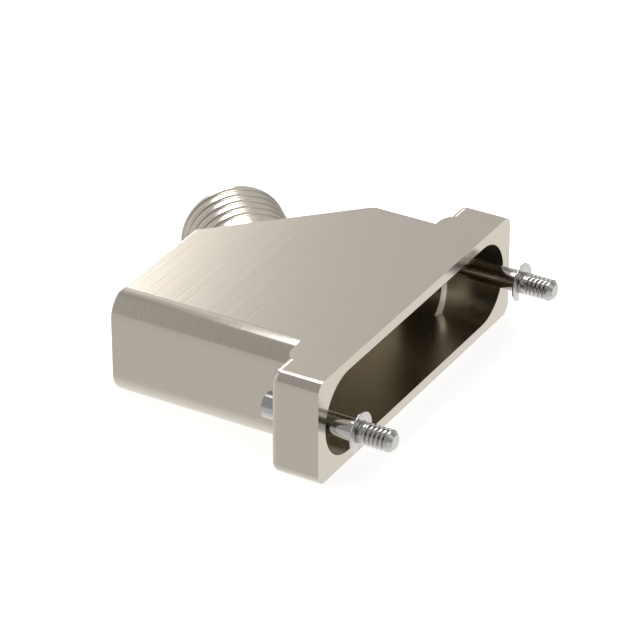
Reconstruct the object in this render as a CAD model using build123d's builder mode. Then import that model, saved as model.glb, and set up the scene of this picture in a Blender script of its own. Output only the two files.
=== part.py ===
from build123d import *
import math
import os

# A backshell for a micro-d connector: a hollow body with a racetrack opening in its front
# flange and a ringed cable spout at 45 degrees, held to the connector by two captive
# jackscrews. The origin is the middle of the mating face. +Y runs back into the body,
# +Z is up and X runs along the flange. All sizes are in millimetres.

# flange
flange_length = 37.72
height = 10.89
flange_depth = 5.12
flange_corner = 1.1
ear_edge_round = 0.7

# racetrack opening in the front of the flange, inside its rim
rim_end = 1.29
rim_side = 1.105
opening_depth = 4.55

# collar between the flange and the body, round-ended when seen from above
collar_inset = 2.96
collar_step = 0.35
collar_round = 1.96

# body, with a slanted face from its back to its right side
body_inset = 4.33
body_depth = 25.25
left_round = 2.4
right_round = 1.35
back_face_end = 0.7
back_edge_round = 0.2

# cavity in the body, its ends curved towards floor and roof, with a bevel around its mouth
side_wall = 0.5
back_wall = 1.6
end_curve_height = 2.8
end_curve_width = 1.35
mouth_curve_width = 0.95
mouth_bevel = 0.4

# cable spout on the slanted face
spout_inset = 5.84
spout_diameter = 10.88
spout_bore_diameter = 7.8
spout_length = 8.0
groove_count = 5
ring_pitch = 1.3
end_ring_width = 0.55
groove_width = 0.72
groove_depth = 0.2
spout_edge = 0.15
bore_edge = 0.3

# jackscrews
jackscrew_inset = 2.795
thread_diameter = 2.18
screw_clearance = 0.06
screw_reach = 6.5
tip_chamfer = 0.4
head_diameter = 2.58
head_length = 2.0
head_chamfer = 0.12
head_clearance = 0.2
hex_socket_width = 1.27
hex_socket_depth = 1.1

# retaining clips, one in a groove of each jackscrew
clip_distance = 2.75
clip_thickness = 0.2
clip_diameter = 3.9
clip_inner_diameter = 2.3
clip_groove_diameter = 1.6
clip_clearance = 0.04
clip_opening = 1.4
clip_foot = 1.6
clip_prong_width = 0.9

# how far a cutting shape runs past the solid that it cuts
overrun = 1.0

half_height = height / 2
opening_length = flange_length - 2 * rim_end
opening_height = height - 2 * rim_side
body_width = flange_length - 2 * body_inset
half_spacing = flange_length / 2 - jackscrew_inset
slant_reach = body_depth + back_face_end
cavity_depth = body_depth - back_wall
cavity_slant_reach = slant_reach - back_wall * math.sqrt(2)
cavity_width = body_width - 2 * side_wall
mouth_width = cavity_width + 2 * mouth_bevel
thread_radius = thread_diameter / 2
head_radius = head_diameter / 2
head_end = flange_depth + head_length
clip_groove_radius = clip_groove_diameter / 2
clip_front = -clip_distance - clip_thickness
spout_radius = spout_diameter / 2
groove_radius = groove_depth / 2 + groove_width**2 / (8 * groove_depth)
out_of_slant = Vector(1, 1, 0).normalized()
along_slant = Vector(1, -1, 0).normalized()
spout_foot = Vector(back_face_end, body_depth, 0) + along_slant * spout_inset


def section_plane(y):
    """A plane across the body at this depth, facing back. Its second direction is down."""
    return Plane(origin=(0, y, 0), x_dir=(1, 0, 0), z_dir=(0, 1, 0))


def slant_corner(reach, depth):
    """Outline, seen from above, of all that lies past the slanted face with this reach."""
    side = body_width / 2 + overrun
    back = depth + overrun
    return [(reach - back, back), (side, reach - side), (side, back)]


# Hollow of the body, as a solid to cut with
with BuildPart() as cavity:
    mouth_end = opening_depth + mouth_bevel
    mouth = (opening_depth, mouth_width, mouth_curve_width)
    end_height = opening_height / 2 - end_curve_height
    for depth, width, curve_width in (mouth, (mouth_end, cavity_width, end_curve_width)):
        with BuildSketch(section_plane(depth)):
            with BuildLine():
                end = Line((width / 2, 0), (width / 2, end_height))
                corner = (width / 2 - curve_width, opening_height / 2)
                TangentArc(end @ 1, corner, tangent=end % 1)
                Line(corner, (0, opening_height / 2))
                mirror(about=Plane.XZ)
                mirror(about=Plane.YZ)
            make_face()
    loft()
    extrude(cavity.faces().sort_by(Axis.Y)[-1], amount=cavity_depth - mouth_end)
    with BuildSketch(Plane.XY.offset(-half_height)):
        with BuildLine():
            Polyline(slant_corner(cavity_slant_reach, cavity_depth), close=True)
        make_face()
    extrude(amount=height, mode=Mode.SUBTRACT)
    with BuildSketch(section_plane(-overrun)):
        SlotOverall(opening_length, opening_height)
    extrude(amount=overrun + opening_depth)

with BuildPart() as backshell:
    # flange
    with BuildSketch(section_plane(0)):
        RectangleRounded(flange_length, height, flange_corner)
    extrude(amount=flange_depth)
    fillet(backshell.faces().sort_by(Axis.Y)[-1].edges(), ear_edge_round)

    # collar
    collar_half = flange_length / 2 - collar_inset
    collar_front = flange_depth / 2
    collar_back = flange_depth + collar_step
    collar_side_back = flange_depth - ear_edge_round
    arc_depth = collar_back - collar_side_back
    arc_width = math.sqrt(collar_round**2 - (collar_round - arc_depth) ** 2)
    with BuildSketch(Plane.XY.offset(-half_height)):
        with BuildLine():
            Line((0, collar_front), (collar_half, collar_front))
            side = Line((collar_half, collar_front), (collar_half, collar_side_back))
            arc = RadiusArc(side @ 1, (collar_half - arc_width, collar_back), -collar_round)
            Line(arc @ 1, (0, collar_back))
            mirror(about=Plane.YZ)
        make_face()
    extrude(amount=height)

    # body
    with BuildSketch(section_plane(collar_front)) as body_section:
        Rectangle(body_width, height)
        fillet(body_section.vertices().group_by(Axis.X)[0], left_round)
        fillet(body_section.vertices().group_by(Axis.X)[-1], right_round)
    extrude(amount=body_depth - collar_front)
    with BuildSketch(Plane.XY.offset(-half_height)):
        with BuildLine():
            Polyline(slant_corner(slant_reach, body_depth), close=True)
        make_face()
    extrude(amount=height, mode=Mode.SUBTRACT)
    back_edges = backshell.faces().sort_by(Axis.Y)[-1].edges()
    fillet(back_edges.sort_by(Axis.X)[:-1], back_edge_round)

    # spout
    spout_start = spout_foot - out_of_slant * (back_wall / 2)
    with BuildSketch(Plane(origin=spout_start, x_dir=along_slant, z_dir=out_of_slant)):
        Circle(spout_radius)
    extrude(amount=back_wall / 2 + spout_length)
    chamfer(backshell.faces().sort_by(Axis(spout_foot, out_of_slant))[-1].edges(), spout_edge)

    # round-bottomed grooves that leave the rings of the spout
    with BuildSketch(Plane(origin=spout_foot, x_dir=out_of_slant, z_dir=along_slant)):
        for index in range(groove_count):
            from_end = end_ring_width + groove_width / 2 + index * ring_pitch
            with Locations((spout_length - from_end, spout_radius - groove_depth + groove_radius)):
                Circle(groove_radius)
    revolve(axis=Axis(spout_foot, out_of_slant), mode=Mode.SUBTRACT)

    # hollow inside
    add(cavity.part, mode=Mode.SUBTRACT)

    # cable bore, from the end of the spout through the slanted wall
    spout_end = spout_foot + out_of_slant * spout_length
    with BuildSketch(Plane(origin=spout_end, x_dir=along_slant, z_dir=out_of_slant)):
        Circle(spout_bore_diameter / 2)
    extrude(amount=-spout_length - back_wall - overrun, mode=Mode.SUBTRACT)
    end_face = backshell.faces().sort_by(Axis(spout_foot, out_of_slant))[-1]
    chamfer(end_face.edges().sort_by(SortBy.RADIUS)[0], bore_edge)

    # jackscrew holes, and room for the heads beside the body
    for sign in (-1, 1):
        with BuildSketch(section_plane(0)):
            with Locations((sign * half_spacing, 0)):
                Circle(thread_radius + screw_clearance)
        extrude(amount=flange_depth, mode=Mode.SUBTRACT)
        with BuildSketch(section_plane(flange_depth)):
            with Locations((sign * half_spacing, 0)):
                Circle(head_radius + head_clearance)
        extrude(amount=collar_step, mode=Mode.SUBTRACT)

backshell.part.label = "backshell"

os.makedirs("parts", exist_ok=True)
export_step(backshell.part, "parts/backshell.step")

for side_name, sign in (("left", -1), ("right", 1)):
    screw_x = sign * half_spacing
    with BuildPart() as jackscrew:
        with BuildSketch(Plane.XY):
            with BuildLine():
                tip_radius = thread_radius - tip_chamfer
                groove_front = clip_front - clip_clearance
                groove_back = -clip_distance + clip_clearance
                Polyline(
                    (screw_x, -screw_reach),
                    (screw_x + tip_radius, -screw_reach),
                    (screw_x + thread_radius, tip_chamfer - screw_reach),
                    (screw_x + thread_radius, groove_front),
                    (screw_x + clip_groove_radius, groove_front),
                    (screw_x + clip_groove_radius, groove_back),
                    (screw_x + thread_radius, groove_back),
                    (screw_x + thread_radius, flange_depth),
                    (screw_x + head_radius, flange_depth),
                    (screw_x + head_radius, head_end - head_chamfer),
                    (screw_x + head_radius - head_chamfer, head_end),
                    (screw_x, head_end),
                    close=True,
                )
            make_face()
        revolve(axis=Axis((screw_x, 0, 0), (0, 1, 0)))
        with BuildSketch(section_plane(head_end)):
            with Locations((screw_x, 0)):
                RegularPolygon(hex_socket_width / 2, 6, major_radius=False)
        extrude(amount=-hex_socket_depth, mode=Mode.SUBTRACT)
    jackscrew.part.label = "jackscrew_" + side_name
    export_step(jackscrew.part, "parts/jackscrew_" + side_name + ".step")

    # The clip's mouth is down. Three prongs reach from its ring to the screw's groove.
    with BuildPart() as clip:
        prong_start = clip_groove_radius + clip_clearance
        with BuildSketch(section_plane(clip_front)):
            with Locations((screw_x, 0)):
                Circle(clip_diameter / 2)
                Circle(clip_inner_diameter / 2, mode=Mode.SUBTRACT)
                with PolarLocations(0, 3, start_angle=-90):
                    with Locations(((prong_start + clip_diameter / 2) / 2, 0)):
                        Rectangle(clip_diameter / 2 - prong_start, clip_prong_width)
                Circle(prong_start, mode=Mode.SUBTRACT)
                downward = (Align.CENTER, Align.MIN)
                Rectangle(clip_opening, clip_diameter, align=downward, mode=Mode.SUBTRACT)
            with Locations((screw_x, clip_foot)):
                Rectangle(clip_diameter, clip_diameter, align=downward, mode=Mode.SUBTRACT)
        extrude(amount=clip_thickness)
    clip.part.label = "retaining_clip_" + side_name
    export_step(clip.part, "parts/retaining_clip_" + side_name + ".step")
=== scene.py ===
import bmesh
import bpy
import math
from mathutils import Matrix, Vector


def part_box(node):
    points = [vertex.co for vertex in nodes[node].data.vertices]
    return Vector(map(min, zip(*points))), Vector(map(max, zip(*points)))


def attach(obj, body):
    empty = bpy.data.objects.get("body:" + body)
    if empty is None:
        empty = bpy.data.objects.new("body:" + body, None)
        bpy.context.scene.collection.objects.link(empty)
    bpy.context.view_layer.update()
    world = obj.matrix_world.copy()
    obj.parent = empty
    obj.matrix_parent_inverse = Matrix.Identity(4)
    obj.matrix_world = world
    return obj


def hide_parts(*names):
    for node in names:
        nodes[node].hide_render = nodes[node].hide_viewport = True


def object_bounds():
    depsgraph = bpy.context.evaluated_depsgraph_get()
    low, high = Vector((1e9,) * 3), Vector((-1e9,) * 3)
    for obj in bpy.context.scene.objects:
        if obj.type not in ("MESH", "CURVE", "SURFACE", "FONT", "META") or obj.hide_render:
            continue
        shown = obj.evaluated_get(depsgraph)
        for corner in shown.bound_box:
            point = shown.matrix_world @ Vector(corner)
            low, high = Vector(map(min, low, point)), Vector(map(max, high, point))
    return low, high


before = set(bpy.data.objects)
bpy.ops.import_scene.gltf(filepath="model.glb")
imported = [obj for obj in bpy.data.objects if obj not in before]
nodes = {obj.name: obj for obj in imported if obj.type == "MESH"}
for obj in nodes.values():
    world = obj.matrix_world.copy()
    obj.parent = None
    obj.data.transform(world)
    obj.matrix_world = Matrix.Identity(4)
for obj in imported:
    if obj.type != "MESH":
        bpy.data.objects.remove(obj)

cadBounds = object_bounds()
mm = 0.001
sides = ("left", "right")
print("frame loaded:", len(nodes), "nodes")


# an output socket with Python arithmetic: each operation adds a Math node
class Value:
    def __init__(self, tree, socket):
        self.tree = tree
        self.socket = socket

    def math(self, operation, *others):
        made = self.tree.nodes.new("ShaderNodeMath")
        made.operation = operation
        for slot, item in zip(made.inputs, (self, *others)):
            if isinstance(item, Value):
                self.tree.links.new(item.socket, slot)
            else:
                slot.default_value = item
        return Value(self.tree, made.outputs[0])

    def output(self, index):
        return Value(self.tree, self.socket.node.outputs[index])

    def __add__(self, other):
        return self.math("ADD", other)

    def __mul__(self, other):
        return self.math("MULTIPLY", other)

    def __sub__(self, other):
        return self.math("SUBTRACT", other)

    def __rsub__(self, other):
        return self * -1 + other

    def __lt__(self, other):
        return self.math("LESS_THAN", other)

    def __gt__(self, other):
        return self.math("GREATER_THAN", other)

    def __abs__(self):
        return self.math("ABSOLUTE")

    __radd__ = __add__
    __rmul__ = __mul__


# a node tree whose nodes all come from one method: settings first, then values or links
class Graph:
    def __init__(self, tree):
        self.tree = tree

    # a socket goes by its name, or by its number as n0, n1 and so on
    def node(self, kind, settings=None, output=0, **sockets):
        made = self.tree.nodes.new("ShaderNode" + kind)
        for name, value in (settings or {}).items():
            setattr(made, name, value)
        for name, value in sockets.items():
            slot = made.inputs[int(name[1:]) if name[1:].isdigit() else name]
            if isinstance(value, Value):
                self.tree.links.new(value.socket, slot)
            else:
                slot.default_value = value
        return Value(self.tree, made.outputs[output])

    # 0 to 1 in a smooth step between two values
    def step(self, value, low, high):
        smooth = {"interpolation_type": "SMOOTHSTEP"}
        return self.node("MapRange", smooth, Value=value, n1=low, n2=high)

    # 1 between two values, with soft borders
    def window(self, value, low, high, soft):
        rise = self.step(value, low - soft, low + soft)
        return rise * (1 - self.step(value, high - soft, high + soft))

    def mix(self, share, first, second):
        return self.node("Mix", {"data_type": "RGBA"}, output=2, n0=share, n6=first, n7=second)


class Finish(Graph):
    def __init__(self, name, metallic, colour):
        self.material = bpy.data.materials.new(name)
        self.material.use_nodes = True
        super().__init__(self.material.node_tree)
        self.shader = self.tree.nodes["Principled BSDF"]
        self.shader.inputs["Metallic"].default_value = metallic
        self.shader.inputs["Base Color"].default_value = (*colour, 1)

    def feed(self, name, value):
        self.tree.links.new(value.socket, self.shader.inputs[name])

    def place(self):
        return self.node("TexCoord", output=3)

    # fine lines or grain: noise stretched by a different scale on each axis
    def grain(self, scale, detail):
        stretched = self.node("Mapping", Vector=self.place(), Scale=scale)
        return self.node("TexNoise", Vector=stretched, Scale=1.0, Detail=detail)

    def bump(self, height, strength, distance):
        return self.node("Bump", Height=height, Strength=strength, Distance=distance)


# nickel plate: brushed along the flange outside, plain on the mating face, with painted shade
# darkening and warming its colour inside the recess and cavity
def nickelFinish():
    nickel = {
        "colour": (0.66, 0.605, 0.53),
        "paleColour": (0.675, 0.625, 0.555),  # in the brush lines and clouds
        # painted shade: a darker, browner colour for the inside of the recess and cavity
        "shadedInsideColour": (0.61, 0.57, 0.485),
        "rough": {"top": 0.11, "sides": 0.18, "spout": 0.25, "front": 0.16, "inside": 0.24},
        "lineRough": 0.04,  # how much rougher the highest brush lines are
        "topHeight": 5.43 * mm,
        "frontDepth": 0.03 * mm,
        "spoutReach": 26.0 * mm,  # x + y where the spout begins
        "hollowHeight": 4.4 * mm,
        "recess": {"x": 17.6 * mm, "y": 4.6 * mm},
        "cavity": {"x": 14.06 * mm, "y": 24.2 * mm, "slant": 25.9 * mm},
        "fineLines": {"scale": (60, 6500, 60), "detail": 2, "share": 0.6},
        "wideLines": {"scale": (12, 1500, 12), "detail": 2, "share": 0.4},
        "insideLines": {"scale": (40, 30000, 40), "detail": 0, "share": 0.6},
        "clouds": {"scale": (120, 120, 120), "detail": 2},
        "streaks": {"low": 0.4, "high": 0.6, "share": 0.35},  # the rest of the tone is clouds
        "lineHeight": 0.006 * mm,
        "topLines": 0.4,  # how high the lines are on the top, of their height elsewhere
    }
    finish = Finish("nickelPlate", 1.0, nickel["colour"])
    x = finish.node("SeparateXYZ", Vector=finish.place())
    y, z = x.output(1), x.output(2)

    def grain(name):
        return finish.grain(nickel[name]["scale"], nickel[name]["detail"])

    # where each part of the finish lies, 0 or 1
    recess, cavity = nickel["recess"], nickel["cavity"]
    front = y < nickel["frontDepth"]
    inRecess = (abs(x) < recess["x"]) * (y < recess["y"])
    inCavity = (abs(x) < cavity["x"]) * (y < cavity["y"]) * (x + y < cavity["slant"])
    inHeight = abs(z) < nickel["hollowHeight"]
    inside = inRecess.math("MAXIMUM", inCavity) * inHeight * (1 - front)
    top = z > nickel["topHeight"]
    spout = x + y > nickel["spoutReach"]

    fine = grain("fineLines") * nickel["fineLines"]["share"]
    lines = fine + grain("wideLines") * nickel["wideLines"]["share"]
    insideLines = grain("insideLines") * inside * nickel["insideLines"]["share"]

    rough = nickel["rough"]
    outside = lines * nickel["lineRough"] + rough["sides"]
    outside = outside + top * (rough["top"] - rough["sides"])
    outside = outside + spout * (rough["spout"] - rough["sides"])
    roughness = outside * (1 - inside) + inside * rough["inside"]
    finish.feed("Roughness", roughness * (1 - front) + front * rough["front"])

    streaks = nickel["streaks"]
    tone = finish.step(lines, streaks["low"], streaks["high"]) * streaks["share"]
    tone = tone + grain("clouds") * (1 - streaks["share"])
    plate = finish.mix(tone, (*nickel["colour"], 1), (*nickel["paleColour"], 1))
    # painted shade: the base colour turns darker and browner inside the recess and cavity
    finish.feed("Base Color", finish.mix(inside, plate, (*nickel["shadedInsideColour"], 1)))

    brushed = (1 - front) * (1 - inside) * (1 - spout) * (1 - top * (1 - nickel["topLines"]))
    height = lines * brushed + insideLines
    finish.feed("Normal", finish.bump(height, 1.0, nickel["lineHeight"]))
    return finish.material


# turned or stamped steel: its grain makes it rougher in places and gives it a slight bump
def steelFinish(name):
    steel = {
        "screwSteel": {"colour": (0.62, 0.61, 0.6), "smoothest": 0.05, "scale": (900, 9000, 900)},
        "clipSteel": {"colour": (0.66, 0.65, 0.63), "smoothest": 0.12, "scale": (3000, 3000, 3000)},
        "detail": 2,
        "grainRough": 0.08,
        "bump": 0.1,
        "grainHeight": 0.003 * mm,
    }
    finish = Finish(name, 1.0, steel[name]["colour"])
    lines = finish.grain(steel[name]["scale"], steel["detail"])
    finish.feed("Roughness", lines * steel["grainRough"] + steel[name]["smoothest"])
    finish.feed("Normal", finish.bump(lines, steel["bump"], steel["grainHeight"]))
    return finish.material


nickelPlate = nickelFinish()
screwSteel = steelFinish("screwSteel")
clipSteel = steelFinish("clipSteel")
print("finishes made")


def addPiece(name, shape, material, body, node):
    mesh = bpy.data.meshes.new(name)
    shape.to_mesh(mesh)
    shape.free()
    mesh.shade_smooth()
    mesh.materials.append(material)
    piece = bpy.data.objects.new(name, mesh)
    bpy.context.scene.collection.objects.link(piece)
    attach(piece, body)
    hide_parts(node)
    return piece


# jackscrew: one turned profile, then the thread and the hexagon socket are cut into it
# sizes in millimetres, with y counted from the mating face
def jackscrewShape(low, high):
    screw = {
        "steps": 72,  # around the axis
        "pitch": 0.4536,
        "ringsPerPitch": 18,
        "shankRadius": 1.09,
        "rootRadius": 0.8,
        "threadBack": -3.5,
        "runout": 0.35,  # the thread fades over this length at its back
        "runin": 0.2,  # and over this length behind the tip's chamfer
        "flankSlope": 1.7,
        "rootFlat": 0.2,
        "tipRadius": 0.69,
        "tipChamfer": 0.4,
        "grooveRadius": 0.8,
        "grooveFront": -2.99,
        "grooveBack": -2.71,
        "seat": 5.12,
        "headChamfer": 0.12,
        "socketInradius": 0.635,
        "socketDepth": 1.1,
        "mergeDistance": 0.0001,
        "tolerance": 0.001,
    }
    fullTurn = 2 * math.pi
    sixth = fullTurn / 6
    tip = low.y / mm
    back = high.y / mm
    headRadius = (high.x - low.x) / 2 / mm
    shank = screw["shankRadius"]
    socket = screw["socketInradius"]
    threadFront = tip + screw["tipChamfer"]
    threadBack = screw["threadBack"]
    threadLength = threadBack - threadFront
    rings = round(threadLength / screw["pitch"] * screw["ringsPerPitch"])
    profile = [(0, tip), (screw["tipRadius"], tip)]
    profile += [(shank, threadFront + threadLength * ring / rings) for ring in range(rings + 1)]
    profile += [
        (shank, screw["grooveFront"]),
        (screw["grooveRadius"], screw["grooveFront"]),
        (screw["grooveRadius"], screw["grooveBack"]),
        (shank, screw["grooveBack"]),
        (shank, screw["seat"]),
        (headRadius, screw["seat"]),
        (headRadius, back - screw["headChamfer"]),
        (headRadius - screw["headChamfer"], back),
        (socket, back),
        (socket, back - screw["socketDepth"]),
        (0, back - screw["socketDepth"]),
    ]
    shape = bmesh.new()
    points = [shape.verts.new((radius, y, 0)) for radius, y in profile]
    edges = [shape.edges.new(pair) for pair in zip(points, points[1:])]
    bmesh.ops.spin(
        shape,
        geom=points + edges,
        cent=(0, 0, 0),
        axis=(0, 1, 0),
        angle=fullTurn,
        steps=screw["steps"],
        use_merge=True,
    )
    bmesh.ops.remove_doubles(shape, verts=shape.verts, dist=screw["mergeDistance"])
    bmesh.ops.recalc_face_normals(shape, faces=shape.faces)
    for point in shape.verts:
        radius = math.hypot(point.co.x, point.co.z)
        turn = math.atan2(point.co.z, point.co.x)
        y = point.co.y
        if radius < screw["tolerance"]:
            continue
        wanted = radius
        if threadFront < y < threadBack:
            phase = (y / screw["pitch"] - turn / fullTurn) % 1
            ramp = screw["flankSlope"] * (1 - abs(2 * phase - 1)) - screw["rootFlat"]
            flank = min(1, max(0, ramp))
            rounded = flank * flank * (3 - 2 * flank)
            runout = (threadBack - y) / screw["runout"]
            runin = (y - threadFront) / screw["runin"]
            wanted -= (1 - rounded) * (shank - screw["rootRadius"]) * min(1, runout, runin)
        elif abs(radius - socket) < screw["tolerance"] and y > screw["seat"]:
            wanted = socket / math.cos((turn + sixth / 2) % sixth - sixth / 2)
        point.co.x *= wanted / radius
        point.co.z *= wanted / radius
    place = ((low.x + high.x) / 2, 0, (low.z + high.z) / 2)
    bmesh.ops.scale(shape, vec=(mm, mm, mm), verts=shape.verts)
    bmesh.ops.translate(shape, vec=place, verts=shape.verts)
    return shape


# edges bent by more than the angle stay crisp
def sharpenEdges(piece, angle):
    shape = bmesh.new()
    shape.from_mesh(piece.data)
    for edge in shape.edges:
        if edge.is_manifold and edge.calc_face_angle() > angle:
            edge.smooth = False
    shape.to_mesh(piece.data)
    shape.free()


# a node's shape with its loose triangles merged into flat faces
def mergedCopy(node, mergeDistance, flatAngle):
    shape = bmesh.new()
    shape.from_mesh(nodes[node].data)
    bmesh.ops.remove_doubles(shape, verts=shape.verts, dist=mergeDistance)
    bmesh.ops.dissolve_limit(
        shape, angle_limit=flatAngle, verts=shape.verts, edges=shape.edges, delimit={"NORMAL"}
    )
    return shape


def addBevel(piece, width, segments, angle):
    bevel = piece.modifiers.new("edgeBreak", "BEVEL")
    bevel.width = width
    bevel.segments = segments
    bevel.limit_method = "ANGLE"
    bevel.angle_limit = angle
    bevel.harden_normals = True


screwEdges = {"crispAbove": math.radians(30)}
clipEdges = {
    "mergeDistance": 0.0001 * mm,
    "flatBelow": math.radians(1),
    "bevel": 0.045 * mm,
    "segments": 2,
    "bevelAbove": math.radians(40),
}
for side in sides:
    screwNode = "jackscrew_" + side
    screwPiece = addPiece(
        "turnedJackscrew_" + side,
        jackscrewShape(*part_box(screwNode)),
        screwSteel,
        "screw_" + side,
        screwNode,
    )
    sharpenEdges(screwPiece, screwEdges["crispAbove"])
    clipNode = "retaining_clip_" + side
    clipPiece = addPiece(
        "stampedClip_" + side,
        mergedCopy(clipNode, clipEdges["mergeDistance"], clipEdges["flatBelow"]),
        clipSteel,
        "clip_" + side,
        clipNode,
    )
    addBevel(clipPiece, clipEdges["bevel"], clipEdges["segments"], clipEdges["bevelAbove"])
print("screws and clips made")

for slot in nodes["backshell"].material_slots:
    slot.material = nickelPlate
print("backshell finished")


# floor: lit from below like a light table, and left out of the reflections
def addFloor(height):
    table = {"colour": (0.9, 0.9, 0.9), "roughness": 0.9, "glow": 0.7, "halfWidth": 3.0}
    finish = Finish("paleFloor", 0.0, table["colour"])
    finish.shader.inputs["Roughness"].default_value = table["roughness"]
    finish.shader.inputs["Emission Color"].default_value = (1, 1, 1, 1)
    finish.shader.inputs["Emission Strength"].default_value = table["glow"]
    shape = bmesh.new()
    bmesh.ops.create_grid(shape, x_segments=1, y_segments=1, size=table["halfWidth"])
    bmesh.ops.translate(shape, vec=(0, 0, height), verts=shape.verts)
    mesh = bpy.data.meshes.new("floor")
    shape.to_mesh(mesh)
    shape.free()
    mesh.materials.append(finish.material)
    floor = bpy.data.objects.new("floor", mesh)
    floor.visible_glossy = False
    bpy.context.scene.collection.objects.link(floor)


# studio around the part: grey walls, a paler table in front, and two of the three softboxes
# an aim is a direction, and a range says where a lift, drop or box begins and is full
# azimuths run from +X towards +Y and elevations from the horizon, in degrees
def addStudio():
    studio = {
        "tint": (1, 0.99, 0.97),
        "ceiling": 0.36,
        "backWall": {"aim": (0.866, 0.5, 0), "range": (0.3, 0.8), "lift": 0.25},
        "cameraSide": {"aim": (-0.75, -0.5, 0.43), "range": (0.8, 0.97), "drop": 0.26},
        "rear": {"yRange": (0.45, 0.6), "xRange": (0.1, -0.1), "lift": 0.45},
        "table": {"level": 0.79, "tilt": 0.2, "edge": (0.03, -0.03)},
        "tableBehind": {"range": (0.6, 0.9), "drop": 0.55},
        "nadir": {"range": (-0.5, -0.9), "lift": 0.15},
        "sideBox": {
            "azimuth": (37.4, 60),
            "azimuthSoft": 6,
            "elevation": (21, 35),
            "elevationSoft": 1.5,
            "slant": 0.5,  # how far its sides lean, about the elevation of slantMiddle
            "slantMiddle": 30,
            "level": 8,
        },
        "frontBox": {"aim": (0.0, -0.64, 0.77), "range": (0.88, 0.95), "level": 0.4},
    }
    world = bpy.data.worlds.new("studio")
    world.use_nodes = True
    graph = Graph(world.node_tree)
    direction = graph.node("TexCoord")
    x = graph.node("SeparateXYZ", Vector=direction)
    y, z = x.output(1), x.output(2)
    azimuth = y.math("ARCTAN2", x).math("DEGREES")
    elevation = z.math("ARCSINE").math("DEGREES")

    def along(aim):
        dot = {"operation": "DOT_PRODUCT"}
        return graph.node("VectorMath", dot, output=1, n0=direction, n1=aim)

    wall, camera, rear = studio["backWall"], studio["cameraSide"], studio["rear"]
    backward = along(wall["aim"])
    upper = graph.step(backward, *wall["range"]) * wall["lift"] + studio["ceiling"]
    upper = upper - graph.step(along(camera["aim"]), *camera["range"]) * camera["drop"]
    atRear = graph.step(y, *rear["yRange"]) * graph.step(x, *rear["xRange"])
    upper = upper + atRear * rear["lift"]

    table, behind, nadir = studio["table"], studio["tableBehind"], studio["nadir"]
    lower = x * table["tilt"] + table["level"]
    lower = lower - graph.step(backward, *behind["range"]) * behind["drop"]
    lower = lower + graph.step(z, *nadir["range"]) * nadir["lift"]
    below = graph.step(z, *table["edge"])
    light = upper * (1 - below) + lower * below

    side, front = studio["sideBox"], studio["frontBox"]
    slanted = azimuth + (side["slantMiddle"] - elevation) * side["slant"]
    glow = graph.window(slanted, *side["azimuth"], side["azimuthSoft"])
    glow = glow * graph.window(elevation, *side["elevation"], side["elevationSoft"])
    light = light + glow * side["level"]
    light = light + graph.step(along(front["aim"]), *front["range"]) * front["level"]
    background = graph.tree.nodes["Background"]
    graph.tree.links.new(light.socket, background.inputs["Strength"])
    background.inputs["Color"].default_value = (*studio["tint"], 1)
    bpy.context.scene.world = world


# third softbox, over the back: its rear border ends the bright line along the body's round
def addBackSoftbox():
    box = {"height": 80 * mm, "x": (-9 * mm, 45 * mm), "y": (18 * mm, 46 * mm), "radiance": 2.8}
    width, depth = (box[axis][1] - box[axis][0] for axis in "xy")
    lamp = bpy.data.lights.new("backSoftbox", "AREA")
    lamp.shape = "RECTANGLE"
    lamp.size = width
    lamp.size_y = depth
    lamp.energy = box["radiance"] * math.pi * width * depth
    holder = bpy.data.objects.new("backSoftbox", lamp)
    holder.location = (sum(box["x"]) / 2, sum(box["y"]) / 2, box["height"])
    holder.visible_camera = False
    bpy.context.scene.collection.objects.link(holder)


def addCamera():
    view = {
        "azimuth": math.radians(-60),
        "elevation": math.radians(30),
        "distance": 346.24 * mm,
        "aim": (-3.529 * mm, 8.672 * mm, 2.217 * mm),
        "lens": 204.97,
        "sensor": 36,
        "clipStart": 10 * mm,
    }
    level = math.cos(view["elevation"])
    towardsCamera = Vector(
        (
            math.sin(view["azimuth"]) * level,
            -math.cos(view["azimuth"]) * level,
            math.sin(view["elevation"]),
        )
    )
    data = bpy.data.cameras.new("camera")
    data.lens = view["lens"]
    data.sensor_width = view["sensor"]
    data.clip_start = view["clipStart"]
    camera = bpy.data.objects.new("camera", data)
    camera.location = Vector(view["aim"]) + towardsCamera * view["distance"]
    camera.rotation_euler = (-towardsCamera).to_track_quat("-Z", "Y").to_euler()
    bpy.context.scene.collection.objects.link(camera)
    bpy.context.scene.camera = camera


addFloor(cadBounds[0].z)
addStudio()
addBackSoftbox()
bpy.context.scene.cycles.glossy_bounces = 12  # the cavity is lit by light that bounces in it
print("studio made")
addCamera()
bpy.context.scene.view_settings.view_transform = "Standard"
print("stage and camera set")
